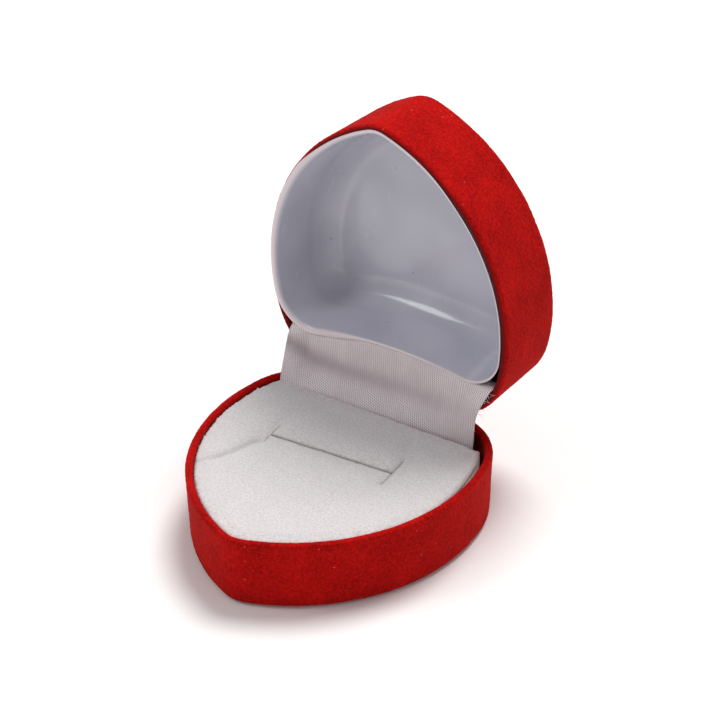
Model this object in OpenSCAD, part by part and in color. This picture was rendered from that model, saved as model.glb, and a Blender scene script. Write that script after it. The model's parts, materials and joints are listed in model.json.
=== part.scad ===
// Heart-shaped ring box: two flocked moulded shells joined at the rear by a steel snap hinge.
// The origin is the middle of the flat underside, +Z is up, the tip of the heart points to -Y.
// The lid is drawn shut on the base and then swung open about the hinge pin.

/* [Heart outline] */
// Distance of each lobe's centre from the middle of the box
lobe_x = 11; // [10:0.5:12]
// Radius of each lobe
lobe_r = 14; // [13.5:0.1:14.5]
// Radius of the long curved sides
side_r = 35.2; // [34:0.1:37]
// Distance from the line through the lobe centres to the centre of the tip's round end
tip_reach = 32.2; // [31.5:0.1:34]
// Radius of the round end at the tip
tip_r = 6.5; // [6:0.1:7]
// Radius of the shallow hollow between the lobes
notch_r = 45; // [35:1:80]

/* [Shells] */
// Height of the base from its underside to its rim
base_h = 13.5; // [12.5:0.1:15]
// Depth of the lid from its rim to its flat top
lid_h = 15.9; // [15.5:0.1:18]
// Thickness of the moulded walls with their flock
wall = 1.4; // [1.2:0.1:1.6]
// Thickness of the base's floor and of the lid's top
floor_t = 1.6; // [1.4:0.1:2]
// Radius of the rounded edge round the underside and round the lid's top
edge_r = 1.5; // [1:0.1:1.7]
// How much further in each wall stands at the closed end than at its rim
draft = 0.4; // [0:0.1:0.6]
// Gap between the two rims when the box is shut
rim_gap = 0.25; // [0.2:0.05:0.4]
// Height that is cut away from the lid's rim behind the hinge pin
rear_relief = 0.8; // [0.7:0.1:1]

/* [Hinge] */
// Opening angle of the lid
open_angle = 90; // [90:1:95]
// Slope of the hinge pin across the box, its right end raised
pin_slope = 3; // [0:0.5:4]
// Distance of the pin's axis in front of the rearmost point of the lobes
pin_inset = 1.4; // [1.3:0.1:1.6]
// Height of the pin's axis above the rim of the base
pin_rise = 3.2; // [3:0.1:3.5]
// Radius of the pin
pin_r = 0.6; // [0.5:0.05:0.7]
// Running clearance between the pin and the lid's knuckles, on the radius
pin_play = 0.04; // [0.02:0.01:0.08]
// Thickness of the sheet steel of both leaves
leaf_t = 0.45; // [0.4:0.05:0.5]
// Width of the leaves, which is the length of the row of knuckles
leaf_w = 24; // [20:1:26]
// Side gap between neighbouring knuckles
knuckle_gap = 0.15; // [0.1:0.05:0.2]

/* [Ring pad] */
// Distance from the rearmost point of the lobes to the pad's straight rear edge
pad_setback = 7.4; // [7:0.1:9]
// Distance of the pad's surface below the rim
pad_recess = 0.6; // [0.5:0.1:1]
// Thickness of the flannel cover
cover_t = 0.6; // [0.5:0.1:0.8]
// Thickness of the foam
foam_t = 4.8; // [4:0.1:5.5]
// Thickness of the stiff card
card_t = 0.8; // [0.6:0.1:1]
// Length of the ring slit
slit_l = 24; // [22:1:28]
// Length of the short cross slit at each end of the ring slit
cross_l = 7; // [4:0.5:8]
// Width of the slits
slit_w = 0.3; // [0.2:0.05:0.4]
// Distance of the ring slit in front of the line through the lobe centres
slit_front = 7.5; // [4:0.5:8]
// Distance of the slit's middle to the right of the middle of the pad
slit_x = -1; // [-3:0.5:3]

/* [Lid liner] */
// Thickness of the vacuum-formed sheet
liner_t = 0.5; // [0.4:0.1:0.6]
// Depth of the liner's bowl from its rim
liner_d = 12.5; // [11:0.5:13]
// Distance from the rearmost point of the lobes to the liner's rear edge
liner_setback = 8.4; // [8:0.1:9]
// Radius of the round corner between the liner's wall and its bottom
liner_bowl_r = 5; // [4:0.5:6]

/* [Satin strip] */
// Width of the strip across the box
strip_w = 40; // [34:0.5:41]
// Thickness of the strip
strip_t = 0.3; // [0.2:0.05:0.4]

/* [Hidden] */
round_fn = 48;
sliver = 0.01;
// Longer than the box in every direction, for cutting right through it
through = 120;

// Heart outline: the tip, side and lobe arcs of the right half meet at common tangents
tip_to_lobe = [lobe_x, tip_reach];
tip_lobe_d = norm(tip_to_lobe);
side_along = ((side_r - tip_r)^2 - (side_r - lobe_r)^2 + tip_lobe_d^2) / (2 * tip_lobe_d);
side_across = sqrt((side_r - tip_r)^2 - side_along^2);
side_c = [
    (lobe_x * side_along - tip_reach * side_across) / tip_lobe_d,
    -tip_reach + (tip_reach * side_along + lobe_x * side_across) / tip_lobe_d,
];
side_end = atan2(-side_c.y, lobe_x - side_c.x);
notch_c = [0, sqrt((lobe_r + notch_r)^2 - lobe_x^2)];
lobe_end = atan2(notch_c.y, -lobe_x);
rear_y = lobe_r;
notch_y = notch_c.y - notch_r;
tip_steps = 4;
side_steps = 14;
lobe_steps = 12;
notch_steps = 3;

// Levels of the two shells when the box is shut
lid_rim_z = base_h + rim_gap;
inner_edge_r = 1.2;
edge_steps = 4;
rim_steps = 6;

// Pin of the hinge
pin_c = [0, rear_y - pin_inset, base_h + pin_rise];
pin_dir = [cos(pin_slope), 0, sin(pin_slope)];
knuckle_r = pin_r + pin_play + leaf_t;
knuckle_n = 5;
knuckle_l = (leaf_w - (knuckle_n - 1) * knuckle_gap) / knuckle_n;
knuckle_pitch = knuckle_l + knuckle_gap;
pin_head_t = 0.4;
pin_head_r = 0.85;

// Leaves, measured back and up from the pin
plate_back = -1.9;
plate_front = plate_back - leaf_t;
base_plate_top = -4.2;
base_plate_low = -13;
lid_plate_low = 2.2;
lid_plate_top = 9.5;
notch_low = -7.2;
cam_r = 1.4;
window_w = leaf_w + 2;
window_top = 2.3;

// Snap spring and its rivet
spring_t = 0.25;
spring_gap = 0.03;
spring_low = -11.5;
finger_low = -1.6;
finger_top = -0.1;
finger_side = 0.6;
rivet_z = -9.4;
rivet_r = 0.8;
rivet_head_r = 1.5;
rivet_head_t = 0.4;

// Ring pad, built up from the base's support ribs
pad_top_z = base_h - pad_recess;
foam_top_z = pad_top_z - cover_t;
foam_low_z = foam_top_z - foam_t;
card_low_z = foam_low_z - card_t;
pad_inset = wall + 0.3;
card_inset = wall + draft + 0.3;
pad_rear_y = rear_y - pad_setback;
rib_t = 1.2;
rib_x = 12;
rib_rear_y = 3;
rib_front_y = -18;
rail_w = 1.8;
rail_lip = 0.7;
rail_play = 0.1;
rail_end = 1;
base_rail_back = 0.4;
lid_rail_back = 0;
lid_rail_low = 3.4;
lid_leaf_w = 3 * knuckle_l + 2 * knuckle_gap;

// Liner outline: its rear corners are rounded and its rear edge follows the shells' hollow
liner_inset = wall + 0.1;
liner_corner_r = 6.8;
liner_corner_y = rear_y - liner_setback - liner_corner_r;
liner_corner_reach = side_r - liner_inset - liner_corner_r;
liner_corner_c = [
    side_c.x + sqrt(liner_corner_reach^2 - (liner_corner_y - side_c.y)^2),
    liner_corner_y,
];
liner_side_end = atan2(liner_corner_c.y - side_c.y, liner_corner_c.x - side_c.x);
liner_notch_r = 90;
liner_notch_c = [0, liner_corner_y + sqrt((liner_corner_r + liner_notch_r)^2 - liner_corner_c.x^2)];
liner_corner_end = atan2(liner_notch_c.y - liner_corner_c.y, -liner_corner_c.x);
liner_slope = 1.2;
liner_lip_r = 0.45;
liner_tip_r = 5;
bowl_steps = 5;
corner_steps = 8;

// Satin strip: points of its front face as [y, z], on the base and on the shut lid, and the
// directions in which its back face lies from the points on the lid
strip_low = [[6.75, 10.1], [6.75, 12.8]];
strip_high = [[13.3, 13.3], [9.1, 13.2], [6.1, 14.1], [6.1, 16.7]];
strip_high_back = [[0, 1], [0, 1], [1, 1], [1, 0]];

// Points of an arc about c, from just after the angle from up to the angle to
function arc(c, r, from, to, steps, first = 1) =
    [for (i = [first : steps]) c + r * [cos(from + (to - from) * i / steps),
                                        sin(from + (to - from) * i / steps)]];

// Right half of an outline closed by its mirror image
function both_halves(half) =
    concat(half, [for (i = [len(half) - 2 : -1 : 1]) [-half[i].x, half[i].y]]);

// Centre of a tip's round end of radius r that touches both side arcs at an inset
function tip_centre(inset, r) =
    [0, side_c.y - sqrt((side_r - inset - r)^2 - side_c.x^2)];

// Tip and side arcs of the right half, inset into the box
function front_half(inset, r, to) =
    let (c = tip_centre(inset, r), from = atan2(c.y - side_c.y, c.x - side_c.x))
    concat(arc(c, r, -90, from, tip_steps, 0),
           arc(side_c, side_r - inset, from, to, side_steps));

function heart(inset) = both_halves(concat(
    front_half(inset, tip_r - inset, side_end),
    arc([lobe_x, 0], lobe_r - inset, side_end, lobe_end, lobe_steps),
    arc(notch_c, notch_r + inset, lobe_end - 180, -90, notch_steps)));

// Outline of the liner, further inset, with its own radius at the tip
function liner_heart(inset, r) = both_halves(concat(
    front_half(liner_inset + inset, r, liner_side_end),
    arc(liner_corner_c, liner_corner_r - inset, liner_side_end, liner_corner_end, corner_steps),
    arc(liner_notch_c, liner_notch_r + inset, liner_corner_end - 180, -90, notch_steps)));

// Where a point of the shut lid stands when the lid is open
function swung(p) =
    let (v = p - pin_c, c = cos(-open_angle), s = sin(-open_angle))
    pin_c + v * c + cross(pin_dir, v) * s + pin_dir * (pin_dir * v) * (1 - c);

// Solid skinned over rings of points, each ring anticlockwise from above and above the last
module skin(rings) {
    n = len(rings[0]);
    last = len(rings) - 1;
    polyhedron(
        points = [for (ring = rings) each ring],
        faces = concat(
            [[for (j = [0 : n - 1]) j]],
            [for (k = [0 : last - 1]) for (j = [0 : n - 1])
                let (a = k * n + j, b = k * n + (j + 1) % n)
                each [[a, a + n, b + n], [a, b + n, b]]],
            [[for (j = [n - 1 : -1 : 0]) last * n + j]]));
}

// An outline at height z
function level(outline, z) = [for (p = outline) [p.x, p.y, z]];

// Section of a moulded shell, as insets and heights, from its closed end over the rim and in
function shell_section(h) = concat(
    [for (k = [0 : edge_steps]) let (t = 90 * k / edge_steps)
        [draft + edge_r * (1 - sin(t)), edge_r * (1 - cos(t))]],
    [for (k = [0 : rim_steps]) let (t = 180 * k / rim_steps)
        [wall / 2 * (1 - cos(t)), h - wall / 2 * (1 - sin(t))]],
    [for (k = [0 : edge_steps]) let (t = 90 * k / edge_steps)
        [wall + draft + inner_edge_r * (1 - cos(t)), floor_t + inner_edge_r * (1 - sin(t))]]);

module shell(h) {
    skin([for (s = shell_section(h)) level(heart(s[0]), s[1])]);
}

// Places children, drawn about the pin with X along it, on the sloping pin
module on_pin() {
    translate(pin_c)
        rotate([0, -pin_slope, 0])
            children();
}

// Turns the shut lid to its open position
module swing() {
    translate(pin_c)
        rotate(a = -open_angle, v = pin_dir)
            translate(-pin_c)
                children();
}

// Flat outline in the plane across the pin, extruded along it from x over the length l
module bar(outline, x, l) {
    translate([x, 0, 0])
        rotate([90, 0, 90])
            linear_extrude(l)
                polygon(outline);
}

// Left end of knuckle number i
function knuckle_x(i) = -leaf_w / 2 + i * knuckle_pitch;

// Straight cylinder along the pin
module rod(r, x, l) {
    translate([x, 0, 0])
        rotate([0, 90, 0])
            cylinder(r = r, h = l, $fn = round_fn);
}

// Card, foam or cover, with a straight rear edge
module pad_layer(inset, z, t) {
    translate([0, 0, z])
        linear_extrude(t)
            intersection() {
                polygon(heart(inset));
                translate([-through / 2, pad_rear_y - through])
                    square(through);
            }
}

// Ring slit with a short cross slit at each end
module ring_slit() {
    translate([slit_x, -slit_front, 0]) {
        cube([slit_l, slit_w, through], center = true);
        for (side = [-1, 1])
            translate([side * slit_l / 2, 0, 0])
                cube([slit_w, cross_l, through], center = true);
    }
}

// Pair of moulded rails from low to top that grip the upright edges of a leaf of width w
module rails(w, low, top, back) {
    front = plate_front - rail_lip;
    for (side = [-1, 1])
        translate([side * (w / 2 - rail_lip + rail_w / 2) - rail_w / 2, front, low])
            cube([rail_w, back - front, top - low]);
}

// Room between the rails for a leaf of width w
module rail_slot(w, low, top) {
    translate([-w / 2 - rail_play, plate_front - rail_play, low])
        cube([w + 2 * rail_play, leaf_t + 2 * rail_play, top - low]);
}

module base_shell() {
    color("firebrick") {
        shell(base_h);
        for (x = [-rib_x, 0, rib_x])
            translate([x - rib_t / 2, rib_front_y, floor_t - sliver])
                cube([rib_t, rib_rear_y - rib_front_y, card_low_z - floor_t + sliver]);
        on_pin()
            difference() {
                rails(leaf_w, base_plate_low - rail_end, base_plate_top - rail_end, base_rail_back);
                rail_slot(leaf_w, base_plate_low - rail_play, 0);
            }
    }
}

module pad_card() {
    color("tan")
        pad_layer(card_inset, card_low_z, card_t);
}

module pad_foam() {
    color("whitesmoke")
        difference() {
            pad_layer(pad_inset, foam_low_z, foam_t);
            ring_slit();
        }
}

module pad_cover() {
    color("lightgray")
        difference() {
            pad_layer(pad_inset, foam_top_z, cover_t);
            ring_slit();
        }
}

module base_hinge_leaf() {
    plate = [[plate_front, base_plate_low], [plate_back, base_plate_low],
             [plate_back, base_plate_top], [0, -knuckle_r], [0, -pin_r - pin_play],
             [-knuckle_r, 0], [plate_front, base_plate_top]];
    color("silver")
        on_pin()
            difference() {
                union() {
                    bar(plate, -leaf_w / 2, leaf_w);
                    for (i = [0, 2, 4])
                        rod(knuckle_r, knuckle_x(i), knuckle_l);
                }
                for (i = [1, 3])
                    translate([knuckle_x(i) - knuckle_gap, -through / 2, notch_low])
                        cube([knuckle_l + 2 * knuckle_gap, through, through]);
                rod(pin_r, -through / 2, through);
                translate([0, 0, rivet_z])
                    rotate([90, 0, 0])
                        cylinder(r = rivet_r, h = through, center = true, $fn = round_fn);
            }
}

module hinge_pin() {
    color("gainsboro")
        on_pin() {
            rod(pin_r, -leaf_w / 2 - pin_head_t, leaf_w + 2 * pin_head_t);
            rod(pin_head_r, -leaf_w / 2 - pin_head_t, pin_head_t);
            rod(pin_head_r, leaf_w / 2, pin_head_t);
        }
}

module snap_spring() {
    back = plate_front - spring_gap;
    cam_face = -knuckle_r - spring_gap;
    bend = notch_low + 1;
    strip = [[back - spring_t, spring_low], [back, spring_low], [back, bend],
             [cam_face, finger_low], [cam_face, finger_top],
             [cam_face - spring_t, finger_top], [cam_face - spring_t, finger_low],
             [back - spring_t, bend]];
    color("lightslategray")
        on_pin()
            difference() {
                bar(strip, -lid_leaf_w / 2, lid_leaf_w);
                translate([-knuckle_l / 2 - finger_side, -through / 2, notch_low])
                    cube([knuckle_l + 2 * finger_side, through, through]);
                translate([0, 0, rivet_z])
                    rotate([90, 0, 0])
                        cylinder(r = rivet_r, h = through, center = true, $fn = round_fn);
            }
}

module spring_rivet() {
    head_back = plate_front - spring_gap - spring_t;
    color("darkgray")
        on_pin()
            translate([0, 0, rivet_z])
                rotate([90, 0, 0]) {
                    translate([0, 0, -plate_back - sliver])
                        cylinder(r = rivet_r, h = plate_back - head_back + 2 * sliver, $fn = round_fn);
                    translate([0, 0, -head_back])
                        cylinder(r = rivet_head_r, h = rivet_head_t, $fn = round_fn);
                    translate([0, 0, -plate_back - rivet_head_t])
                        cylinder(r = rivet_head_r, h = rivet_head_t, $fn = round_fn);
                }
}

module lid_hinge_leaf() {
    cam = [[-knuckle_r, -knuckle_r], [knuckle_r, -knuckle_r],
           [knuckle_r, knuckle_r], [-knuckle_r, knuckle_r]];
    plate = [[-knuckle_r, 0], [-pin_r - pin_play, 0], [0, knuckle_r],
             [plate_back, lid_plate_low + leaf_t], [plate_back, lid_plate_top],
             [plate_front, lid_plate_top], [plate_front, lid_plate_low]];
    color("silver")
        swing()
            on_pin()
                difference() {
                    union() {
                        for (i = [1, 3])
                            intersection() {
                                bar(cam, knuckle_x(i), knuckle_l);
                                rod(cam_r, knuckle_x(i), knuckle_l);
                            }
                        bar(plate, knuckle_x(1), lid_leaf_w);
                    }
                    translate([knuckle_x(2) - knuckle_gap, -through / 2, -through])
                        cube([knuckle_l + 2 * knuckle_gap, through, through + lid_plate_low + leaf_t]);
                    rod(pin_r + pin_play, -through / 2, through);
                }
}

module lid_shell() {
    color("firebrick")
        swing() {
            difference() {
                translate([0, 0, lid_rim_z + lid_h])
                    mirror([0, 0, 1])
                        shell(lid_h);
                translate([-window_w / 2, notch_y - 3 * wall, lid_rim_z - 1])
                    cube([window_w, through, pin_c.z + window_top - lid_rim_z + 1]);
                translate([-through / 2, rear_y - 2 * wall, lid_rim_z - 1])
                    cube([through, through, 1 + rear_relief]);
            }
            on_pin()
                difference() {
                    rails(lid_leaf_w, lid_rail_low, lid_plate_top + rail_end, lid_rail_back);
                    rail_slot(lid_leaf_w, 0, lid_plate_top + rail_play);
                }
        }
}

// Section of one side of the liner's bowl, from its bottom to its wall, as insets, heights
// above the outside of the bottom, and radii of the tip
function bowl_section(skin) =
    [for (k = [0 : bowl_steps])
        let (t = 90 * k / bowl_steps, r = liner_bowl_r - skin)
        [liner_slope + skin + r * (1 - sin(t)), skin + r * (1 - cos(t)),
         liner_tip_r + r * (1 - sin(t))]];

module lid_liner() {
    inside = bowl_section(liner_t);
    section = concat(
        bowl_section(0),
        [for (k = [0 : rim_steps])
            let (t = 180 * k / rim_steps)
            [liner_lip_r * (1 - cos(t)), liner_d - liner_lip_r * (1 - sin(t)), liner_tip_r]],
        [for (k = [bowl_steps : -1 : 0]) inside[k]]);
    color("ghostwhite")
        swing()
            translate([0, 0, lid_rim_z + liner_d])
                mirror([0, 0, 1])
                    skin([for (s = section) level(liner_heart(s[0], s[2]), s[1])]);
}

module satin_strip() {
    x = strip_w / 2;
    low = [for (p = strip_low)
        [[-x, p.x, p.y], [x, p.x, p.y], [x, p.x + strip_t, p.y], [-x, p.x + strip_t, p.y]]];
    high = [for (i = [0 : len(strip_high) - 1])
        let (p = strip_high[i], q = p + strip_t * strip_high_back[i])
        [swung([-x, p.x, p.y]), swung([x, p.x, p.y]), swung([x, q.x, q.y]), swung([-x, q.x, q.y])]];
    color("thistle")
        skin(concat(low, high));
}

base_shell();
pad_card();
pad_foam();
pad_cover();
base_hinge_leaf();
hinge_pin();
snap_spring();
spring_rivet();
satin_strip();
lid_hinge_leaf();
lid_shell();
lid_liner();
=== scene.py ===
"""Heart-shaped ring box, standing open: flocked shells, snap hinge, satin strip, ring pad and liner."""

import json
import math

import bmesh
import bpy
import numpy as np
from mathutils import Matrix, Vector, noise
from mathutils.geometry import delaunay_2d_cdt


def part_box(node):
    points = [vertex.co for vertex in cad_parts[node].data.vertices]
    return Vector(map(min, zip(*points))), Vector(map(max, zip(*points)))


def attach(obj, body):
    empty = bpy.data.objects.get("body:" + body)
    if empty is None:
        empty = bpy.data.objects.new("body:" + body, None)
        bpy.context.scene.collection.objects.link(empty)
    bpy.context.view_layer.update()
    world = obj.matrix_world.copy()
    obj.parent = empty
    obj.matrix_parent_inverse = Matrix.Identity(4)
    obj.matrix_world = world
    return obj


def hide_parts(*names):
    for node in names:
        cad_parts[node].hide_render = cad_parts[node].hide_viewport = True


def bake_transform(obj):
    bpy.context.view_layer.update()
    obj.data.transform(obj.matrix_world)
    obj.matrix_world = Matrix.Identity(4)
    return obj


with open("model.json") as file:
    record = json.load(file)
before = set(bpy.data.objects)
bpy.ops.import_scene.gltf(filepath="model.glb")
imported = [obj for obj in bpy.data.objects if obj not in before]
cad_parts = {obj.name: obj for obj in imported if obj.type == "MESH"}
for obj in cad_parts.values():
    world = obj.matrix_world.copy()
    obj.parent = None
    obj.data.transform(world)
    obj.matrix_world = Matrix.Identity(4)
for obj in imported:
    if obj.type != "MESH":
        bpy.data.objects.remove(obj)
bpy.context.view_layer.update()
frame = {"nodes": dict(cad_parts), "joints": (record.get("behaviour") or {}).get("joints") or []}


# Base shell. A heart-shaped tray injection moulded in plastic. Its outside, rim and the top of
# its inside are sprayed with glue and covered with short red flock, so that every edge is soft.
base_low, base_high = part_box("base_shell")
base_h = base_high.z
lobe_x = 0.011
lobe_r = base_high.y
side_r = 0.0352
tip_r = 0.0065
tip_reach = -base_low.y - tip_r
notch_r = 0.045
wall = 0.0014
draft = 0.0004
edge_r = 0.0015
floor_t = 0.0016
inner_edge_r = 0.0012
flock_pitch = 0.0003
flock_grain = 0.00038
flock_reach = 0.00007
edge_steps = 9
rim_steps = 11
inside_steps = 21
inner_edge_steps = 3
floor_steps = 6
# How strongly the painted shade darkens the flock inside the base.
base_inside_shade = 0.75
base_end_steps = 8

tip_to_lobe = math.hypot(lobe_x, tip_reach)
side_along = ((side_r - tip_r) ** 2 - (side_r - lobe_r) ** 2 + tip_to_lobe**2) / (2 * tip_to_lobe)
side_across = math.sqrt((side_r - tip_r) ** 2 - side_along**2)
side_c = np.array([
    (lobe_x * side_along - tip_reach * side_across) / tip_to_lobe,
    -tip_reach + (tip_reach * side_along + lobe_x * side_across) / tip_to_lobe,
])
side_end = math.atan2(-side_c[1], lobe_x - side_c[0])
lobe_c = np.array([lobe_x, 0])
notch_c = np.array([0, math.sqrt((lobe_r + notch_r) ** 2 - lobe_x**2)])
lobe_end = math.atan2(notch_c[1], -lobe_x)
tip_steps = 26
side_steps = 100
lobe_steps = 86
notch_steps = 28


def arc(centre, r, start, end, steps):
    """Points of an arc about centre, without its first point."""
    turn = start + (end - start) * np.arange(1, steps + 1) / steps
    return centre + r * np.column_stack([np.cos(turn), np.sin(turn)])


def both_halves(half):
    """Closes the right half of an outline, given from the tip to the hollow, with its mirror image."""
    return np.vstack([half, half[-2:0:-1] * (-1, 1)])


def front_half(inset, r, end):
    """Tip and side arcs of the right half of a heart, inset into the box."""
    tip_c = np.array([0, side_c[1] - math.sqrt((side_r - inset - r) ** 2 - side_c[0] ** 2)])
    turn = math.atan2(tip_c[1] - side_c[1], -side_c[0])
    return np.vstack([
        [tip_c - (0, r)],
        arc(tip_c, r, -math.pi / 2, turn, tip_steps),
        arc(side_c, side_r - inset, turn, end, side_steps),
    ])


def heart(inset):
    return both_halves(np.vstack([
        front_half(inset, tip_r - inset, side_end),
        arc(lobe_c, lobe_r - inset, side_end, lobe_end, lobe_steps),
        arc(notch_c, notch_r + inset, lobe_end - math.pi, -math.pi / 2, notch_steps),
    ]))


def level(outline, z):
    """An outline as points in space, at one height or at a height for each point."""
    return np.column_stack([outline, np.broadcast_to(z, len(outline))])


def narrowing(ring, steps, rise=0.0):
    """Rings that narrow from a ring to a point inside it, the middle ones raised by up to rise."""
    middle = ring.mean(axis=0)
    shares = np.linspace(1, 0, steps + 1)[1:-1]
    return [middle + (ring - middle) * s + (0, 0, rise * (1 - s * s)) for s in shares]


def ease(value, low, high):
    """A smooth step that is 0 below low and 1 above high."""
    t = np.clip((value - low) / (high - low), 0, 1)
    return t * t * (3 - 2 * t)


def piece_from(name, points, faces):
    """A smooth-shaded object whose faces all look outwards."""
    mesh = bpy.data.meshes.new(name)
    mesh.from_pydata([tuple(p) for p in points], [], faces)
    form = bmesh.new()
    form.from_mesh(mesh)
    bmesh.ops.recalc_face_normals(form, faces=form.faces)
    form.to_mesh(mesh)
    form.free()
    mesh.shade_smooth()
    piece = bpy.data.objects.new(name, mesh)
    bpy.context.scene.collection.objects.link(piece)
    return piece


def skinned(name, rings):
    """A closed form over a stack of rings, with a fan round the middle of the first and the last."""
    n = len(rings[0])
    points = np.vstack([*rings, rings[0].mean(axis=0), rings[-1].mean(axis=0)])
    end = n * len(rings)
    faces = []
    for start in range(0, end - n, n):
        for j in range(n):
            k = (j + 1) % n
            faces.append((start + j, start + k, start + n + k, start + n + j))
    for j in range(n):
        k = (j + 1) % n
        faces.append((k, j, end))
        faces.append((end - n + j, end - n + k, end + 1))
    return piece_from(name, points, faces)


def shell_rings(height, crown, drop=0.0):
    """Rings of a shell from the middle of its closed end over its rim to the middle of its floor.

    drop is how much lower the rim stands at each point of the outline."""

    def ring(inset, h):
        lowered = np.clip((h - edge_r) / (height - wall / 2 - edge_r), 0, 1)
        return level(heart(inset), h - drop * lowered)

    edge = [
        ring(draft + edge_r * (1 - math.sin(t)), edge_r * (1 - math.cos(t)))
        for t in np.linspace(0, math.pi / 2, edge_steps)
    ]
    low = edge_r
    high = height - wall / 2
    outside = [
        ring(draft * (high - h) / (high - low), h)
        for h in np.arange(low + flock_pitch, high, flock_pitch * 1.15)
    ]
    rim = [
        ring(wall / 2 * (1 - math.cos(t)), high + wall / 2 * math.sin(t))
        for t in np.linspace(0, math.pi, rim_steps)
    ]
    foot = floor_t + inner_edge_r
    inside = [
        ring(wall + draft * (high - h) / (high - foot), h)
        for h in high - (high - foot) * np.linspace(0, 1, inside_steps + 1)[1:] ** 1.5
    ]
    inner_edge = [
        ring(wall + draft + inner_edge_r * (1 - math.cos(t)), foot - inner_edge_r * math.sin(t))
        for t in np.linspace(0, math.pi / 2, inner_edge_steps + 1)[1:]
    ]
    start = narrowing(edge[0], crown)[::-1]
    return [*start, *edge, *outside, *rim, *inside, *inner_edge, *narrowing(inner_edge[-1], floor_steps)]


def roughen(piece, reach, grain):
    """Moves each point along its normal by a smooth random amount, at two sizes of grain."""
    mesh = piece.data
    normals = [v.normal.copy() for v in mesh.vertices]
    for v, normal in zip(mesh.vertices, normals):
        fine = noise.noise(v.co / grain)
        broad = noise.noise(v.co / (grain * 12))
        v.co += normal * reach * (fine + 0.8 * broad)
    mesh.update()


def new_finish(name):
    """An empty finish: its material, its node tree and its main shader."""
    material = bpy.data.materials.new(name)
    material.use_nodes = True
    return material, material.node_tree, material.node_tree.nodes["Principled BSDF"]


def add(tree, kind, **inputs):
    """Adds a shader node whose inputs are numbers or other nodes' outputs."""
    node = tree.nodes.new("ShaderNode" + kind)
    for key, value in inputs.items():
        socket = node.inputs[key.replace("_", " ")]
        if isinstance(value, bpy.types.NodeSocket):
            tree.links.new(value, socket)
        else:
            socket.default_value = value
    return node


def own_place(tree):
    return add(tree, "TexCoord").outputs["Object"]


def mottle(tree, place, size, detail=2.0):
    """Cloudy spots of a size in metres, from 0 to 1."""
    return add(tree, "TexNoise", Vector=place, Scale=1 / size, Detail=detail).outputs["Fac"]


def stretch(tree, value, low, high, new_low=0.0, new_high=1.0):
    """Spreads the part of a value from low to high over a new range."""
    node = add(tree, "MapRange", Value=value)
    node.inputs["From Min"].default_value = low
    node.inputs["From Max"].default_value = high
    node.inputs["To Min"].default_value = new_low
    node.inputs["To Max"].default_value = new_high
    return node.outputs["Result"]


def tint(tree, share, one, other):
    """Mixes two colours, or a colour and a socket, by a share."""
    node = tree.nodes.new("ShaderNodeMix")
    node.data_type = "RGBA"
    for name, value in (("Factor_Float", share), ("A_Color", one), ("B_Color", other)):
        socket = next(s for s in node.inputs if s.identifier == name)
        if isinstance(value, bpy.types.NodeSocket):
            tree.links.new(value, socket)
        elif isinstance(value, tuple):
            socket.default_value = (*value, 1)
        else:
            socket.default_value = value
    return next(s for s in node.outputs if s.identifier == "Result_Color")


def bumps(tree, height, depth, strength=1.0, over=None):
    """Turns a height into relief of a depth in metres, over earlier relief if there is some."""
    node = add(tree, "Bump", Height=height, Distance=depth, Strength=strength)
    if over is not None:
        tree.links.new(over, node.inputs["Normal"])
    return node.outputs["Normal"]


def red_flock(name):
    """Short dense nap: speckled crimson that turns paler at a slant, with a little lint."""
    deep_red = (0.25, 0.0018, 0.0018)
    bright_red = (0.58, 0.007, 0.0055)
    rim_gap_shade = (0.12, 0.010, 0.012)
    lint = (0.85, 0.22, 0.19)
    material, tree, shader = new_finish(name)
    place = own_place(tree)
    tips = stretch(tree, mottle(tree, place, 0.00045, 3.0), 0.36, 0.64)
    brushed = stretch(tree, mottle(tree, place, 0.006, 2.0), 0.3, 0.7)
    share = add(tree, "Math")
    share.operation = "MULTIPLY_ADD"
    tree.links.new(tips, share.inputs[0])
    share.inputs[1].default_value = 0.62
    shift = stretch(tree, brushed, 0, 1, 0.05, 0.38)
    tree.links.new(shift, share.inputs[2])
    nap = tint(tree, share.outputs[0], deep_red, bright_red)
    # Painted shade: the flock inside the shells and on the inner part of the lid's rim is darkened to
    # maroon, for the shade in the gap under the liner and beside the pad.
    nap = tint(tree, marked(tree, "gap_shade").outputs["Fac"], nap, rim_gap_shade)
    cells = add(tree, "TexVoronoi", Vector=place, Scale=1 / 0.0016)
    cells.inputs["Randomness"].default_value = 1.0
    specks = stretch(tree, cells.outputs["Distance"], 0.10, 0.05, 0.0, 0.55)
    rare = stretch(tree, mottle(tree, place, 0.004, 1.0), 0.55, 0.62)
    lint_share = add(tree, "Math")
    lint_share.operation = "MULTIPLY"
    tree.links.new(specks, lint_share.inputs[0])
    tree.links.new(rare, lint_share.inputs[1])
    tree.links.new(tint(tree, lint_share.outputs[0], nap, lint), shader.inputs["Base Color"])
    relief = bumps(tree, mottle(tree, place, 0.0007, 3.0), 0.00018, 0.7)
    relief = bumps(tree, mottle(tree, place, 0.00018, 2.0), 0.0001, 0.9, relief)
    tree.links.new(relief, shader.inputs["Normal"])
    shader.inputs["Roughness"].default_value = 0.95
    shader.inputs["Specular IOR Level"].default_value = 0.06
    shader.inputs["Sheen Weight"].default_value = 0.22
    shader.inputs["Sheen Roughness"].default_value = 0.4
    shader.inputs["Sheen Tint"].default_value = (1, 0.10, 0.08, 1)
    return material


def mark(piece, name, values):
    """Stores a number for each point of a piece, for its material to read."""
    piece.data.attributes.new(name, "FLOAT", "POINT").data.foreach_set("value", values)


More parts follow.
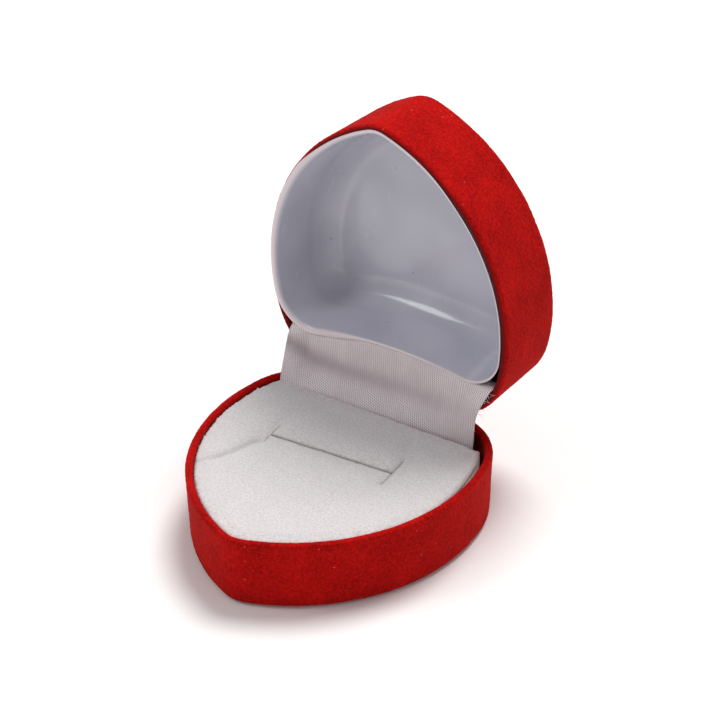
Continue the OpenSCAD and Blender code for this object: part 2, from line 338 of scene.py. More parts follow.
def shade_inside(shell, rings, rim_share, share):
    """Marks painted shade on the flock inside a shell and on a share of its rim's rings, for the shade in
    the gap under the pad and the liner.
    """
    within = inside_steps + inner_edge_steps + floor_steps - 1 + rim_share
    first = len(rings) - within
    gap_shade = np.zeros(len(shell.data.vertices))
    gap_shade[len(rings[0]) * first : len(rings[0]) * len(rings)] = share
    mark(shell, "gap_shade", gap_shade)


def marked(tree, name):
    """The node that reads the numbers stored for each point under a name."""
    stored = tree.nodes.new("ShaderNodeAttribute")
    stored.attribute_name = name
    return stored


flock = red_flock("red_flock_nap")
base_rings = shell_rings(base_h, base_end_steps)
base = skinned("base_flocked", base_rings)
roughen(base, flock_reach, flock_grain)
shade_inside(base, base_rings, 0, base_inside_shade)
base.data.materials.append(flock)
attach(base, "base")
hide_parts("base_shell")


# Card and foam of the ring pad. The card is a stiff grey board that rests on the tray's ribs; the
# foam is die cut to the same heart, glued to it, and slit in an H so that it grips a ring.
card_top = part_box("pad_card")[1].z
pad_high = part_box("pad_cover")[1]
pad_inset = wall + 0.0001
pad_rear_y = pad_high.y
pad_pitch = 0.0005
slit_c = np.array([-0.0006, -0.0080])
slit_l = 0.0244
slit_turn = math.radians(4.2)
slit_w = 0.0006
cross_l = 0.0082
cross_w = 0.00016
right_gap = 0.0009
left_cross_up = 0.7
left_cross_down = 0.6
cover_gap = 0.0002


def spaced(corners, pitch):
    """Points along the sides of a polygon, no further apart than a pitch."""
    points = []
    for a, b in zip(corners, np.roll(corners, -1, axis=0)):
        count = max(1, math.ceil(np.linalg.norm(b - a) / pitch))
        points.extend(a + (b - a) * i / count for i in range(count))
    return np.array(points)


def slit_outline():
    """The H-shaped cut, its middle stroke a little wider than the strokes at its ends."""
    end = slit_l / 2
    w = slit_w / 2
    reach = cross_l / 2
    c = cross_w
    corners = np.array([
        (-end, -w), (end - c, -w), (end - c, -reach), (end, -reach),
        (end, reach), (end - c, reach), (end - c, w), (-end, w),
        (-end, reach * left_cross_up), (-end - c / 2, reach * left_cross_up),
        (-end - c / 2, -reach * left_cross_down), (-end, -reach * left_cross_down),
    ])
    turn = np.array([[math.cos(slit_turn), -math.sin(slit_turn)],
                     [math.sin(slit_turn), math.cos(slit_turn)]])
    return spaced(corners @ turn.T + slit_c, pad_pitch)


def pad_outline(inset):
    """The heart cut off straight at the rear, behind the lobes' widest part."""
    points = heart(inset)[::2]
    points[:, 0] -= right_gap * ease(points[:, 0], 0.012, 0.018) * ease(points[:, 1], -0.016, 0.003)
    points = points[points[:, 1] < pad_rear_y - pad_pitch / 2]
    right = points[: len(points) // 2 + 1]
    left = points[len(points) // 2 + 1 :]
    half_width = lobe_x + math.sqrt((lobe_r - inset) ** 2 - pad_rear_y**2)
    rear = spaced(np.array([(half_width - right_gap, pad_rear_y), (-half_width, pad_rear_y)]), pad_pitch)
    rear = rear[: len(rear) // 2 + 1]
    return np.vstack([right, rear, left])


def inside_of(points, outline):
    """Which points lie inside a closed outline."""
    x, y = points[:, 0:1], points[:, 1:2]
    a = outline
    b = np.roll(outline, -1, axis=0)
    spans = (a[:, 1] > y) != (b[:, 1] > y)
    rise = np.where(b[:, 1] == a[:, 1], 1, b[:, 1] - a[:, 1])
    cross_x = a[:, 0] + (y - a[:, 1]) * (b[:, 0] - a[:, 0]) / rise
    return (spans & (x < cross_x)).sum(axis=1) % 2 == 1


def distance_to(points, outline):
    """Distance of each point from the nearest point of an outline."""
    gaps = points[:, None, :] - outline[None, :, :]
    return np.sqrt((gaps**2).sum(axis=2)).min(axis=1)


def pad_plan(pitch):
    """Flat triangles that fill the pad's outline round the slit, and the two edge loops."""
    rim = pad_outline(pad_inset)
    cut = slit_outline()
    rng = np.random.default_rng(4)
    rows = np.arange(rim[:, 1].min(), rim[:, 1].max(), pitch * 0.87)
    field = [
        (x + (i % 2) * pitch / 2, y)
        for i, y in enumerate(rows)
        for x in np.arange(rim[:, 0].min(), rim[:, 0].max(), pitch)
    ]
    field = np.array(field) + rng.uniform(-0.15, 0.15, (len(field), 2)) * pitch
    clear = inside_of(field, rim) & ~inside_of(field, cut)
    field = field[clear]
    field = field[(distance_to(field, rim) > 0.6 * pitch) & (distance_to(field, cut) > 0.45 * pitch)]
    points = np.vstack([rim, cut, field])
    n, m = len(rim), len(cut)
    edges = [(j, (j + 1) % n) for j in range(n)] + [(n + j, n + (j + 1) % m) for j in range(m)]
    found = delaunay_2d_cdt([Vector(p) for p in points], edges, [], 0, 1e-9)
    points = np.array([tuple(p) for p in found[0]])
    triangles = np.array(found[2])
    middles = points[triangles].mean(axis=1)
    keep = inside_of(middles, rim) & ~inside_of(middles, cut)
    return points, triangles[keep], rim, cut


def pad_block(name, plan, top, low):
    """A closed slab over the plan, with a height for each point of its top and a flat underside."""
    points, triangles, rim, cut = plan
    count = len(points)
    faces = [tuple(t) for t in triangles]
    under = [(c + count, b + count, a + count) for a, b, c in faces]
    sides = {}
    for a, b, c in faces:
        for edge in ((a, b), (b, c), (c, a)):
            sides[edge] = True
    walls = [(b, a, a + count, b + count) for a, b in sides if (b, a) not in sides]
    return piece_from(name, np.vstack([level(points, top), level(points, low)]), faces + under + walls)


def bare_board():
    board = (0.40, 0.37, 0.33)
    fibre = (0.56, 0.53, 0.48)
    material, tree, shader = new_finish("grey_board_fibre")
    place = own_place(tree)
    fibres = stretch(tree, mottle(tree, place, 0.0006, 5.0), 0.35, 0.65)
    tree.links.new(tint(tree, fibres, board, fibre), shader.inputs["Base Color"])
    tree.links.new(bumps(tree, fibres, 0.00004), shader.inputs["Normal"])
    shader.inputs["Roughness"].default_value = 0.9
    return material


def open_foam():
    hollow = (0.50, 0.49, 0.47)
    skin = (0.86, 0.86, 0.84)
    material, tree, shader = new_finish("white_foam_cells")
    place = own_place(tree)
    cells = add(tree, "TexVoronoi", Vector=place, Scale=1 / 0.0004).outputs["Distance"]
    # Painted shade: the sunken middles of the foam's cells are tinted grey.
    tree.links.new(tint(tree, stretch(tree, cells, 0.1, 0.6), hollow, skin), shader.inputs["Base Color"])
    tree.links.new(bumps(tree, cells, 0.00012), shader.inputs["Normal"])
    shader.inputs["Roughness"].default_value = 0.95
    return material


def refinish(node, material):
    """Gives a CAD node, whose shape is kept, its own finish."""
    for held in frame["nodes"][node].material_slots:
        held.material = material


refinish("pad_card", bare_board())
plan = pad_plan(pad_pitch)
foam_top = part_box("pad_foam")[1].z
foam = pad_block("pad_foam_slit", plan, foam_top - cover_gap, card_top)
foam.data.materials.append(open_foam())
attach(foam, "base")
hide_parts("pad_foam")


# Pad cover. Light grey flannel with a short flocked nap, laid over the foam and cut along the same
# H. It rolls down at the walls and into the slit, swells a little between them, and has one crease
# on the left, from the wall to the slit's end.
pad_top = pad_high.z
cover_t = 0.0006
roll_r = 0.0009
lip_roll = 0.00036
lip_width = 0.0006
roll_share = 0.55
crown = 0.00035
waves = 0.00006
crease_depth = 0.0005
crease_w = 0.0012
crease_line_w = 0.0006
crease_side = (-0.0013, -0.0007)
crease_corners = np.array([(-0.0200, -0.0236), (-0.0166, -0.0203), (-0.0150, -0.0166), (-0.0137, -0.0121)])
crease_pieces = 12
sim_scale = 20
sim_frames = 16
sim_pressure = 1.4
sim_slack = 0.006
slit_hold = 0.6


def puffed(plan, top):
    """Blows the cover up a little as cloth held at its edge and at the slit, at a larger scale."""
    points, triangles, rim, cut = plan
    sheet = piece_from("cover_blank", level(points, top) * sim_scale, [tuple(t) for t in triangles])
    held = sheet.vertex_groups.new(name="held")
    near_rim = distance_to(points, rim) < pad_pitch * 0.8
    near_cut = distance_to(points, cut) < pad_pitch * 0.2
    for i in np.flatnonzero(near_rim):
        held.add([int(i)], 1.0, "REPLACE")
    for i in np.flatnonzero(near_cut & ~near_rim):
        held.add([int(i)], slit_hold, "REPLACE")
    cloth = sheet.modifiers.new("cover_cloth", "CLOTH").settings
    cloth.effector_weights.gravity = 0
    cloth.use_pressure = True
    cloth.uniform_pressure_force = sim_pressure
    cloth.vertex_group_mass = "held"
    cloth.shrink_min = -sim_slack
    cloth.quality = 5
    for step in range(1, sim_frames + 1):
        bpy.context.scene.frame_set(step)
    view = bpy.context.evaluated_depsgraph_get()
    moved = sheet.evaluated_get(view).to_mesh()
    z = np.array([v.co.z for v in moved.vertices]) / sim_scale
    bpy.data.objects.remove(sheet)
    bpy.context.scene.frame_set(1)
    return top + np.clip(z - top, -crown, crown)


def flannel():
    """Brushed cotton with a flocked nap: pale grey with darker fibres and a trace of red fluff."""
    shade = (0.60, 0.57, 0.57)
    pale = (0.745, 0.715, 0.715)
    red_fluff = (0.62, 0.36, 0.36)
    crease_shade_colour = (0.36, 0.34, 0.34)
    material, tree, shader = new_finish("grey_flannel_nap")
    place = own_place(tree)
    fibres = stretch(tree, mottle(tree, place, 0.0004, 4.0), 0.34, 0.62)
    soil = stretch(tree, mottle(tree, place, 0.007, 3.0), 0.35, 0.75, 0.0, 0.35)
    cloth_colour = tint(tree, fibres, shade, pale)
    cloth_colour = tint(tree, soil, cloth_colour, shade)
    # Painted shade along the crease's valley.
    cloth_colour = tint(tree, marked(tree, "crease_shade").outputs["Fac"], cloth_colour, crease_shade_colour)
    cells = add(tree, "TexVoronoi", Vector=place, Scale=1 / 0.0011).outputs["Distance"]
    fluff = stretch(tree, cells, 0.16, 0.06, 0.0, 0.5)
    tree.links.new(tint(tree, fluff, cloth_colour, red_fluff), shader.inputs["Base Color"])
    relief = bumps(tree, mottle(tree, place, 0.0009, 3.0), 0.0001, 0.6)
    relief = bumps(tree, mottle(tree, place, 0.00022, 3.0), 0.00009, 0.9, relief)
    tree.links.new(relief, shader.inputs["Normal"])
    shader.inputs["Roughness"].default_value = 0.95
    shader.inputs["Specular IOR Level"].default_value = 0.15
    shader.inputs["Sheen Weight"].default_value = 0.3
    shader.inputs["Sheen Roughness"].default_value = 0.5
    return material


points, triangles, rim, cut = plan
from_rim = distance_to(points, rim)
from_cut = distance_to(points, cut)
rolled = np.clip(roll_r - from_rim, 0, roll_r)
cover_top = pad_top - (roll_r - np.sqrt(roll_r**2 - rolled**2)) * roll_share
cover_top -= lip_roll * np.exp(-((from_cut / lip_width) ** 2))
cover_top = puffed(plan, cover_top)
cover_top += [waves * noise.noise(Vector((x, y, 0)) / 0.004) for x, y in points]
crease = np.vstack([
    a + (b - a) * s
    for a, b in zip(crease_corners, crease_corners[1:])
    for s in np.linspace(0, 1, crease_pieces)
])
from_crease = distance_to(points, crease)
beside_crease = distance_to(points, crease + crease_side)
cover_top -= crease_depth * np.exp(-((from_crease / crease_w) ** 2))
cover_top += 0.6 * crease_depth * np.exp(-((beside_crease / crease_w) ** 2))
cover = pad_block("pad_cover_flannel", plan, cover_top, pad_top - cover_t - lip_roll)
# Painted shade along the crease's valley, thinned where it meets the raised ridge beside it.
crease_shade = 0.5 * np.exp(-((from_crease / crease_line_w) ** 2))
crease_shade -= 0.4 * np.exp(-((beside_crease / crease_line_w) ** 2))
mark(cover, "crease_shade", np.clip(np.concatenate([crease_shade, crease_shade]), 0, 1))
cover.data.materials.append(flannel())
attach(cover, "base")
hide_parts("pad_cover")


# Snap hinge. Two stamped and zinc-plated steel leaves on one headed pin, with a blued spring
# riveted to the lower leaf that presses on the upper one's flats. The shells' rails grip them.
def plated_steel():
    bright = (0.66, 0.67, 0.69)
    dull = (0.46, 0.46, 0.47)
    material, tree, shader = new_finish("zinc_plate")
    place = own_place(tree)
    bloom = stretch(tree, mottle(tree, place, 0.0018, 4.0), 0.35, 0.65)
    drawn = add(tree, "Mapping", Vector=place, Scale=(0.08, 1, 1)).outputs["Vector"]
    lines = mottle(tree, drawn, 0.00012, 3.0)
    tree.links.new(tint(tree, bloom, bright, dull), shader.inputs["Base Color"])
    tree.links.new(stretch(tree, lines, 0.3, 0.7, 0.26, 0.48), shader.inputs["Roughness"])
    tree.links.new(bumps(tree, lines, 0.00001, 0.5), shader.inputs["Normal"])
    shader.inputs["Metallic"].default_value = 1.0
    return material


def blued_steel():
    blue = (0.13, 0.15, 0.20)
    straw = (0.30, 0.27, 0.24)
    material, tree, shader = new_finish("blued_spring_steel")
    place = own_place(tree)
    oxide = stretch(tree, mottle(tree, place, 0.003, 3.0), 0.4, 0.7)
    tree.links.new(tint(tree, oxide, blue, straw), shader.inputs["Base Color"])
    tree.links.new(stretch(tree, oxide, 0, 1, 0.24, 0.40), shader.inputs["Roughness"])
    tree.links.new(bumps(tree, mottle(tree, place, 0.0002), 0.000006), shader.inputs["Normal"])
    shader.inputs["Metallic"].default_value = 1.0
    return material


zinc = plated_steel()
for node in ("base_hinge_leaf", "lid_hinge_leaf", "hinge_pin", "spring_rivet"):
    refinish(node, zinc)
refinish("snap_spring", blued_steel())


# Lid shell. The upper moulding, a little deeper than the base and flocked in the same red. Its
# rim is cut down at the rear to clear the base and the hinge. It is made shut, then swung open.
joint = frame["joints"][0]
pin = Vector(joint["pos_m"])
opened = math.radians(-joint["range_deg"][0])
swing = (
    Matrix.Translation(pin)
    @ Matrix.Rotation(opened, 4, Vector(joint["axis"]))
    @ Matrix.Translation(-pin)
)
rim_gap = 0.00025
lid_h = 0.0159
lid_rim_z = base_h + rim_gap
rear_relief = 0.0008
relief_blend = 0.0006
lid_end_steps = 40
# Painted shade in the lid's flock: how strong it is inside the lid, and on how many of its rim's inner
# rings.
lid_inside_shade = 0.85
lid_shaded_rim_rings = 7
relief_y = lobe_r - 2 * wall
window_half = 0.013
window_h = pin.z + 0.0023 - lid_rim_z
window_y = 0.0095
window_blend = 0.0012


def swung_open(rings):
    """Rings of the shut lid as they stand when it is open."""
    turn = np.array(swing)
    return [ring @ turn[:3, :3].T + turn[:3, 3] for ring in rings]


def upside_down(rings, closed_z):
    """Rings drawn upwards from a closed end as they stand below that end's height."""
    return [ring * (1, 1, -1) + (0, 0, closed_z) for ring in rings]


outline = heart(0)
relief = rear_relief * ease(outline[:, 1], relief_y - relief_blend, relief_y + relief_blend)
window = ease(outline[:, 1], window_y, window_y + window_blend)
window *= 1 - ease(np.abs(outline[:, 0]), window_half - relief_blend, window_half + relief_blend)
lid_rings = shell_rings(lid_h, lid_end_steps, np.maximum(relief, window_h * window))
lid = skinned("lid_flocked", swung_open(upside_down(lid_rings, lid_rim_z + lid_h)))
roughen(lid, flock_reach, flock_grain)
shade_inside(lid, lid_rings, lid_shaded_rim_rings, lid_inside_shade)
lid.data.materials.append(flock)
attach(lid, "lid")
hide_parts("lid_shell")


# Lid liner. A heart-shaped bowl vacuum formed from glossy pale film and pressed into the lid. Its
# trimmed lip turns outwards: it laps further over the rim on the left than on the right.
liner_inset = wall + 0.0001
liner_d = 0.0125
film_t = 0.00015
bowl_r = 0.005
bowl_slope = 0.0012
corner_r = 0.0068
liner_setback = 0.0084
liner_tip_r = 0.005
liner_notch_r = 0.09
lip_start = 0.00012
lip_h = 0.0005
lip_reach = 0.0003
left_lap = 0.0005
tip_lap = 0.0004
lip_rise = 0.00006
left_rise = 0.00012
lip_turn = math.radians(98)
left_turn = math.radians(30)
film_wave = 0.00012
floor_rings, bend_rings, wall_rings, lip_rings = 26, 15, 16, 11
waved_rings = 8
edge_step = 0.001
corner_y = lobe_r - liner_setback - corner_r
corner_reach = side_r - liner_inset - corner_r
corner_c = np.array([side_c[0] + math.sqrt(corner_reach**2 - (corner_y - side_c[1]) ** 2), corner_y])
corner_from = math.atan2(corner_c[1] - side_c[1], corner_c[0] - side_c[0])
hollow_c = np.array([0, corner_y + math.sqrt((corner_r + liner_notch_r) ** 2 - corner_c[0] ** 2)])
corner_to = math.atan2(hollow_c[1] - corner_c[1], -corner_c[0])
hollow_half = liner_notch_r * math.cos(corner_to - math.pi)
corner_steps = 44
hollow_steps = 50


def liner_heart(inset, tip):
    """Outline of the liner: rounded rear corners and a shallow hollow at the rear."""
    return both_halves(np.vstack([
        front_half(liner_inset + inset, tip, corner_from),
        arc(corner_c, corner_r - inset, corner_from, corner_to, corner_steps),
        arc(hollow_c, liner_notch_r + inset, corner_to - math.pi, -math.pi / 2, hollow_steps),
    ]))


def over_left(edge):
    """How far the lip laps over the rim at each point of the liner's edge."""
    return ease(-edge[:, 0], 0.003, 0.013) * ease(edge[:, 1], -0.035, -0.026)


def film_face(skin):
    """One face of the film, skin deep inside the other, from the bowl's middle to its lip's edge."""
    edge = liner_heart(0, liner_tip_r)
    lap = over_left(edge)
    r = bowl_r - skin
    bend = [
        level(
            liner_heart(bowl_slope + skin + r * (1 - math.sin(t)), liner_tip_r + r * (1 - math.sin(t))),
            skin + r * (1 - math.cos(t)),
        )
        for t in np.linspace(0, math.pi / 2, bend_rings)
    ]
    top = liner_d - lip_h
    rise = [
        level(liner_heart(bowl_slope + skin - (bowl_slope - lip_start) * s, liner_tip_r),
              bowl_r + (top - bowl_r) * s)
        for s in np.linspace(0, 1, wall_rings)[1:-1]
    ]
    reach = lip_reach + left_lap * lap + tip_lap * ease(-edge[:, 1], 0.026, 0.034) * (1 - lap)
    crest = liner_d + lip_rise + left_rise * lap
    last = lip_turn + left_turn * lap
    base_ring = liner_heart(lip_start + skin, liner_tip_r)
    out_ring = liner_heart(lip_start + skin - edge_step, liner_tip_r + edge_step / 2)
    outward = (out_ring - base_ring) / edge_step
    lip = []
    for s in np.linspace(0, 1, lip_rings):
        turn = last * s
        across = reach * (1 - np.cos(turn))
        height = top + (crest - top) * np.sin(turn) + skin * (np.sin(turn) - 1)
        lip.append(level(base_ring + outward * across[:, None], height))
    floor = narrowing(bend[0], floor_rings)[::-1]
    return floor, [*bend, *rise], lip


inner_floor, inner_wall, inner_lip = film_face(film_t)
outer_floor, outer_wall, outer_lip = film_face(0)
for ring in (*inner_floor, *inner_wall[:waved_rings]):
    ring[:, 2] += [film_wave * noise.noise(Vector(p) / 0.011) for p in ring]
inside_face = [*inner_floor, *inner_wall, *inner_lip]
outside_face = [*outer_floor, *outer_wall, *outer_lip]
liner_rings = inside_face + outside_face[::-1]
liner = skinned("lid_liner_film", swung_open(upside_down(liner_rings, lid_rim_z + liner_d)))
edge = liner_heart(0, liner_tip_r)
# Painted light: how far in from the lip's edge the film is tinted paler and pinker, for light through the
# thin film and the red flock's reflection; wider on the left and at the rear.
glow_width = 0.5 + 0.2 * over_left(edge) + 0.3 * ease(edge[:, 1], -0.001, 0.004)
along_lip = np.linspace(0, 1, len(inner_lip))
along_lip = np.concatenate([along_lip, along_lip[::-1]])
lip_start_ring = len(inner_floor) + len(inner_wall)
lip_glow = np.zeros(len(liner.data.vertices))
for i, s in enumerate(along_lip):
    start = len(edge) * (lip_start_ring + i)
    lip_glow[start : start + len(edge)] = ease(s, 1 - glow_width, 1 - glow_width * 0.5)
mark(liner, "lip_glow", lip_glow)


def glossy_film():
    """Glossy pale film: faint thickness waves, a few scuffs and specks, and at its thin lip a painted glow,
    paler and pinker, for light through the film and the red flock's reflection in it.
    """
    film = (0.60, 0.595, 0.675)
    drawn_thin = (0.50, 0.50, 0.58)
    # Painted light: the colour of light through the thin lip and the red flock's reflection in it.
    lip = (0.76, 0.66, 0.69)
    speck = (0.22, 0.21, 0.24)
    material, tree, shader = new_finish("pale_gloss_film")
    place = own_place(tree)
    waves = stretch(tree, mottle(tree, place, 0.012, 1.0), 0.3, 0.7)
    colour = tint(tree, waves, film, drawn_thin)
    colour = tint(tree, marked(tree, "lip_glow").outputs["Fac"], colour, lip)
    cells = add(tree, "TexVoronoi", Vector=place, Scale=1 / 0.0045).outputs["Distance"]
    colour = tint(tree, stretch(tree, cells, 0.05, 0.03, 0.0, 0.8), colour, speck)
    tree.links.new(colour, shader.inputs["Base Color"])
    drawn = add(tree, "Mapping", Vector=place, Scale=(1, 1, 0.2)).outputs["Vector"]
    scuffs = mottle(tree, drawn, 0.0008, 4.0)
    tree.links.new(stretch(tree, scuffs, 0.4, 0.8, 0.16, 0.32), shader.inputs["Roughness"])
    tree.links.new(bumps(tree, mottle(tree, place, 0.006, 2.0), 0.0002, 0.5), shader.inputs["Normal"])
    shader.inputs["Coat Weight"].default_value = 0.3
    shader.inputs["Coat Roughness"].default_value = 0.08
    return material


liner.data.materials.append(glossy_film())
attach(liner, "lid")
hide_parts("lid_liner")


# Satin strip. A length of silvery pink satin with a diagonal weave, cut a little askew. It is glued
# down behind the pad and behind the liner, so it hides the hinge, and it is drawn folded at the hinge.
strip_half = 0.0206
strip_left = (-0.0216, -0.0216, -0.0223, -0.0216, -0.0213, -0.0209)
strip_right = (0.0188, 0.0188, 0.0197, 0.0217, 0.0224, 0.0224)
strip_t = 0.00016
strip_across = 150
strip_along = 64
strip_tuck_z = 0.0101
strip_pad_z = pad_top + 0.0001
strip_gap = 0.0002
strip_skew = 0.0006
fold_y = 0.0120
left_pull = 0.0026
right_pull = 0.0006
fold_low = 0.0004
fold_wave = 0.0002
rim_clear = 0.0007
lid_bend = 0.0012
lid_tuck = 0.0024
ripple_reach = np.array((0, 0.00028, -0.00018))
band_place = 0.41
band_w = 0.0017


def liner_rear(x):
    """How far back the liner's edge stands at a place across it."""
    across = min(abs(x), corner_c[0])
    if across < hollow_half:
        return hollow_c[1] - math.sqrt(liner_notch_r**2 - across**2)
    return corner_y + math.sqrt(corner_r**2 - (across - corner_c[0]) ** 2)


def on_open_lid(x, y, z):
    return np.array(swing @ Vector((x, y, z)))


def strip_stations(side):
    """Points that the strip passes at one place across it, from behind the pad to behind the liner."""
    x = [(a + b) / 2 + (b - a) / 2 * side for a, b in zip(strip_left, strip_right)]
    behind = pad_rear_y + strip_gap + strip_skew * side
    over_rim = rim_clear * ease(abs(side), 0.8, 0.95)
    y = fold_y - left_pull * ease(-side, 0.7, 1) - right_pull * ease(side, 0.7, 1)
    fold = on_open_lid(x[2], y, lid_rim_z - fold_low - over_rim)
    return np.array([
        (x[0], behind, strip_tuck_z),
        (x[1], behind + strip_gap / 2, strip_pad_z),
        fold + (0, fold_wave * math.sin(5 * side), 0),
        on_open_lid(x[3], liner_rear(x[3]) + lid_bend, lid_rim_z + strip_gap - over_rim),
        on_open_lid(x[4], liner_rear(x[4]) + strip_gap / 2, lid_rim_z + 2 * strip_gap),
        on_open_lid(x[5], liner_rear(x[5]) + strip_gap, lid_rim_z + lid_tuck),
    ])


def smooth_through(stations, count):
    """Points of a smooth curve through stations, evenly spread over the stretches between them."""
    ends = np.vstack([2 * stations[0] - stations[1], stations, 2 * stations[-1] - stations[-2]])
    result = []
    for t in np.linspace(0, len(stations) - 1 - 1e-9, count):
        i = int(t)
        s = t - i
        p, q, r, w = ends[i : i + 4]
        result.append(0.5 * (2 * q + (r - p) * s + (2 * p - 5 * q + 4 * r - w) * s * s
                             + (3 * q - p - 3 * r + w) * s**3))
    return np.array(result)


sides = np.linspace(-1, 1, strip_across)
grid = np.array([smooth_through(strip_stations(side), strip_along) for side in sides])
loose = np.sin(np.linspace(0, math.pi, strip_along)) ** 0.8
for i, side in enumerate(sides):
    for k in range(strip_along):
        ripple = noise.noise(Vector((side * 4.2, k / 21, 0.3)))
        ripple += 0.5 * noise.noise(Vector((side * 11, k / 30, 5.0)))
        grid[i, k] += ripple_reach * ripple * loose[k]
run = np.cumsum(np.linalg.norm(np.diff(grid, axis=1, prepend=grid[:, :1]), axis=2), axis=1)
down = np.gradient(grid, axis=1)
over = np.gradient(grid, axis=0)
face = np.cross(over, down)
face /= np.linalg.norm(face, axis=2)[:, :, None]
front = grid + face * strip_t / 2
back = grid - face * strip_t / 2
points = np.vstack([front.reshape(-1, 3), back.reshape(-1, 3)])
sheet_n = strip_across * strip_along
faces = []
for i in range(strip_across - 1):
    for k in range(strip_along - 1):
        a = i * strip_along + k
        b = a + strip_along
        faces.append((a, b, b + 1, a + 1))
        faces.append((sheet_n + a, sheet_n + a + 1, sheet_n + b + 1, sheet_n + b))
for i in range(strip_across - 1):
    for k in (0, strip_along - 1):
        a = i * strip_along + k
        b = a + strip_along
        faces.append((a, b, sheet_n + b, sheet_n + a))
for k in range(strip_along - 1):
    for i in (0, strip_across - 1):
        a = i * strip_along + k
        faces.append((a, a + 1, sheet_n + a + 1, sheet_n + a))
strip = piece_from("satin_strip_woven", points, faces)
cut_place = np.zeros((sheet_n, 3))
cut_place[:, 0] = np.repeat(sides * strip_half, strip_along)
cut_place[:, 1] = run.reshape(-1)
cut_place = np.vstack([cut_place, cut_place])
weave_at = strip.data.attributes.new("cut_place", "FLOAT_VECTOR", "POINT")
weave_at.data.foreach_set("vector", cut_place.reshape(-1))
# Painted shade: a soft darker band across the strip at its fold, strongest on the left.
from_band = run - run[:, int(band_place * strip_along)][:, None]
band = np.exp(-((from_band / band_w) ** 2)) * (0.50 - 0.40 * sides)[:, None]
mark(strip, "fold_shade", np.concatenate([band.reshape(-1), band.reshape(-1)]))


def diagonal_satin():
    """Satin weave: fine slanting ribs over a finer cross thread, silvery pink, brighter on the ribs."""
    rib = (0.98, 0.885, 0.91)
    groove = (0.48, 0.40, 0.425)
    smoky = (0.66, 0.58, 0.61)
    fold_shade_colour = (0.42, 0.34, 0.37)
    material, tree, shader = new_finish("pale_satin_weave")
    place = marked(tree, "cut_place").outputs["Vector"]

    def ribs(turn, pitch, wobble):
        lines = add(tree, "Mapping", Vector=place, Rotation=(0, 0, math.radians(turn)))
        wave = add(tree, "TexWave", Vector=lines.outputs["Vector"], Scale=math.tau / (20 * pitch),
                   Distortion=wobble, Detail=1.0)
        wave.inputs["Detail Scale"].default_value = 0.3
        return wave.outputs["Fac"]

    slant = ribs(-70, 0.00038, 0.8)
    cross = ribs(-12, 0.00040, 0.8)
    woven = add(tree, "Math")
    woven.operation = "MULTIPLY_ADD"
    tree.links.new(cross, woven.inputs[0])
    woven.inputs[1].default_value = 0.9
    tree.links.new(slant, woven.inputs[2])
    height = woven.outputs[0]
    colour = tint(tree, stretch(tree, height, 0.4, 1.3), groove, rib)
    patches = stretch(tree, mottle(tree, place, 0.005, 2.0), 0.4, 0.7, 0.0, 0.5)
    colour = tint(tree, patches, colour, smoky)
    # Painted shade of the fold.
    colour = tint(tree, marked(tree, "fold_shade").outputs["Fac"], colour, fold_shade_colour)
    tree.links.new(colour, shader.inputs["Base Color"])
    tree.links.new(bumps(tree, height, 0.00005, 0.8), shader.inputs["Normal"])
    shader.inputs["Roughness"].default_value = 0.5
    shader.inputs["Sheen Weight"].default_value = 0.2
    shader.inputs["Specular IOR Level"].default_value = 0.5
    return material


strip.data.materials.append(diagonal_satin())
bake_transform(strip)
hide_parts("satin_strip")


# Loose threads. Fine ends of the satin's own yarn that have worked out of the strip's cut edges,
# most of them on the right, beside the fold. They start from points on the strip's edges.
thread_r = 0.00003
thread_short = 0.0006
thread_long = 0.0022
thread_root = 0.2
thread_sides = 5
thread_steps = 9

# Row of the strip's edge, the way out of it, the first and last points for a thread, and how many.
right_edge = (-1, 1, 26, 44, 10)
left_edge = (0, -1, 24, 34, 2)


def loose_thread(edge, way, k, rng):
    """Rings of one thread that leaves an edge of the strip at its point k."""
    out = way * over[edge, k] / np.linalg.norm(over[edge, k])
    along = down[edge, k] / np.linalg.norm(down[edge, k])
    lean = along * rng.uniform(-0.9, 0.9) + face[edge, k] * rng.uniform(-0.2, 0.5)
    curl = np.array((0, 0, 1)) * rng.uniform(-0.5, 0.6)
    length = rng.uniform(thread_short, thread_long)
    turns = np.linspace(0, math.tau, thread_sides + 1)[:-1]
    outline = [thread_r * (along * math.cos(t) + face[edge, k] * math.sin(t)) for t in turns]
    return [
        grid[edge, k] + length * (out * (s - thread_root) + lean * s + curl * s * s) + spoke
        for s in np.linspace(0, 1, thread_steps)
        for spoke in outline
    ]


rng = np.random.default_rng(11)
points, faces = [], []
for edge, way, first_k, last_k, count in (right_edge, left_edge):
    for k in rng.integers(first_k, last_k, count):
        start = len(points)
        last = start + (thread_steps - 1) * thread_sides
        points.extend(loose_thread(edge, way, k, rng))
        for a in range(start, last, thread_sides):
            for j in range(thread_sides):
                p, q = a + j, a + (j + 1) % thread_sides
                faces.append((p, q, q + thread_sides, p + thread_sides))
        faces.append(tuple(range(start, start + thread_sides)))
        faces.append(tuple(range(last, last + thread_sides)))
frayed = piece_from("strip_threads", points, faces)
yarn, tree, shader = new_finish("loose_satin_thread")
shader.inputs["Base Color"].default_value = (0.88, 0.80, 0.82, 1)
shader.inputs["Roughness"].default_value = 0.6
frayed.data.materials.append(yarn)
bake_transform(frayed)


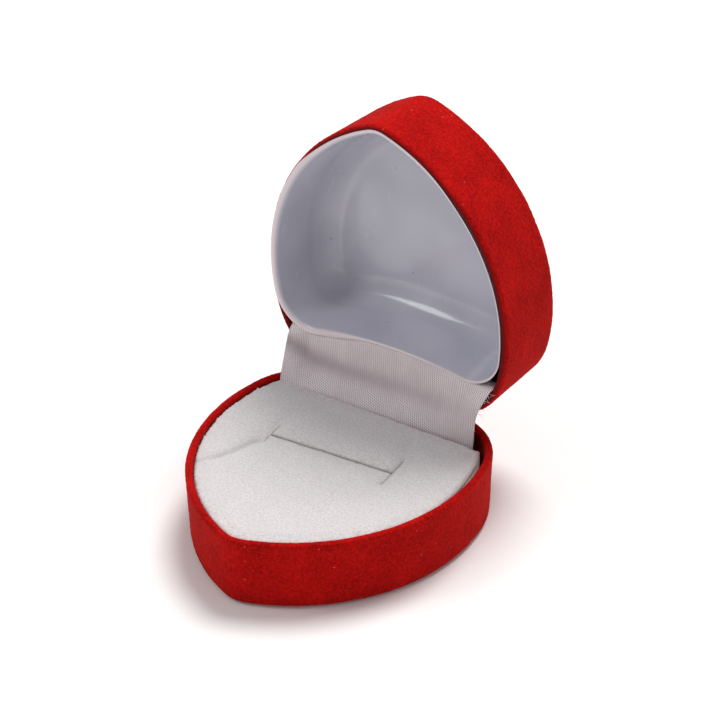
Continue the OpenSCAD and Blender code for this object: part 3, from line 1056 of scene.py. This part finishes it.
# Table, light and camera. A plain white table top, a large soft lamp above and behind, a weaker
# one in front on the left, white walls all round, and a camera above the front right.
table_size = 6.0
table_steps = 8
rows = np.linspace(-table_size / 2, table_size / 2, table_steps)
table_points = [(x, y, 0) for y in rows for x in rows]
table_faces = [
    (j * table_steps + i, j * table_steps + i + 1, (j + 1) * table_steps + i + 1, (j + 1) * table_steps + i)
    for j in range(table_steps - 1)
    for i in range(table_steps - 1)
]
table = piece_from("table_top", table_points, table_faces)
painted, tree, shader = new_finish("white_table_paint")
paint = stretch(tree, mottle(tree, own_place(tree), 0.02, 3.0), 0.3, 0.7)
brushed_white = tint(tree, paint, (0.945, 0.945, 0.94), (0.96, 0.96, 0.955))
tree.links.new(brushed_white, shader.inputs["Base Color"])
shader.inputs["Roughness"].default_value = 0.8
table.data.materials.append(painted)

room = bpy.data.worlds.new("white_room")
room.use_nodes = True
walls = room.node_tree.nodes["Background"]
walls.inputs["Color"].default_value = (1.0, 0.99, 0.985, 1)
walls.inputs["Strength"].default_value = 0.42
bpy.context.scene.world = room


def lamp(name, place, aim, size, power, colour):
    data = bpy.data.lights.new(name, "AREA")
    data.shape = "DISK"
    data.size = size
    data.energy = power
    data.color = colour
    holder = bpy.data.objects.new(name, data)
    holder.location = place
    holder.rotation_euler = (Vector(aim) - Vector(place)).to_track_quat("-Z", "Y").to_euler()
    bpy.context.scene.collection.objects.link(holder)


box_middle = (0, 0, 0.025)
lamp("key_lamp", (0.02, 0.33, 0.79), box_middle, 0.42, 5.8, (1, 0.99, 0.98))
lamp("front_lamp", (-0.48, -0.36, 0.60), box_middle, 0.28, 1.1, (0.97, 0.985, 1))

camera_turn = math.radians(34.156)
camera_rise = math.radians(32.569)
camera_roll = math.radians(-0.59)
camera_far = 0.408
camera_aim = Vector((0.00092, 0, 0.02739))
camera_data = bpy.data.cameras.new("camera")
camera_data.sensor_width = 36
camera_data.lens = 117.2
camera_data.clip_start = 0.01
camera = bpy.data.objects.new("camera", camera_data)
camera.matrix_world = (
    Matrix.Translation(camera_aim)
    @ Matrix.Rotation(camera_turn, 4, "Z")
    @ Matrix.Rotation(math.pi / 2 - camera_rise, 4, "X")
    @ Matrix.Rotation(camera_roll, 4, "Z")
    @ Matrix.Translation((0, 0, camera_far))
)
bpy.context.scene.collection.objects.link(camera)
bpy.context.scene.camera = camera
bpy.context.scene.view_settings.view_transform = "Standard"
